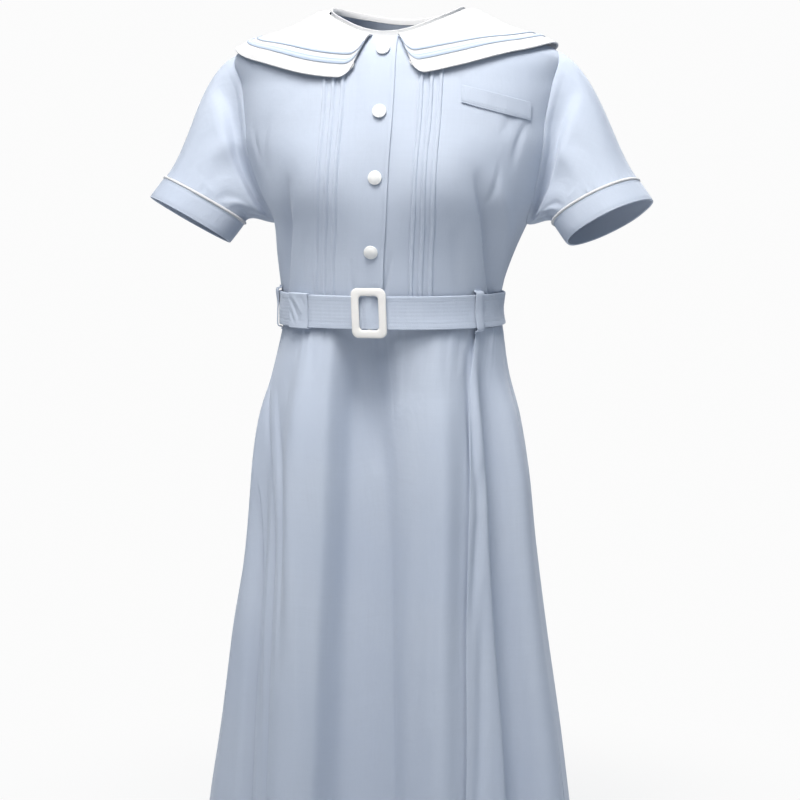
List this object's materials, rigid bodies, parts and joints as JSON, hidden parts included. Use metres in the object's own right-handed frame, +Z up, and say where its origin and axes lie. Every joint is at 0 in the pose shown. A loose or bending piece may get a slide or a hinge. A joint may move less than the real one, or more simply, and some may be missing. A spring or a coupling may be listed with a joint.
{
  "type": "nurse uniform dress",
  "caption": "Short-sleeved nurse uniform dress with a wide rounded collar, pintucked button front, piped cuffs, A-line skirt and belt with a slide buckle.",
  "frame": {"origin": "between the shoulder seams, at half their height, in the mid plane of the skirt", "axes": "+Z up from the hem to the neck, -Y out of the buttoned front, +X to the wearer's left"},
  "size_m": [0.6088, 0.3523, 1.032],
  "materials": {
    "blue_cloth": "plain-woven pale blue cotton blend, matt",
    "white_cloth": "plain-woven white cotton blend, matt",
    "blue_tape": "pale blue woven tape, matt",
    "ivory_plastic": "moulded ivory plastic, satin",
    "white_plastic": "moulded white plastic, satin"
  },
  "bodies": {
    "root": {"front_right": "blue_cloth", "front_left": "blue_cloth", "back": "blue_cloth", "pocket_welt": "blue_cloth", "sleeve_right": "blue_cloth", "sleeve_left": "blue_cloth", "cuff_right": "blue_cloth", "cuff_left": "blue_cloth", "piping_right": "white_cloth", "piping_left": "white_cloth", "skirt_front": "blue_cloth", "skirt_back": "blue_cloth", "collar": "white_cloth", "neckband": "white_cloth", "collar_tape_wide": "blue_tape", "collar_tape_narrow": "blue_tape", "belt": "blue_cloth", "keeper": "blue_cloth", "belt_loop_right": "blue_cloth", "belt_loop_left": "blue_cloth", "belt_loop_back": "blue_cloth", "buckle": "ivory_plastic", "button_1": "white_plastic", "button_2": "white_plastic", "button_3": "white_plastic", "button_4": "white_plastic"}
  },
  "joints": []
}
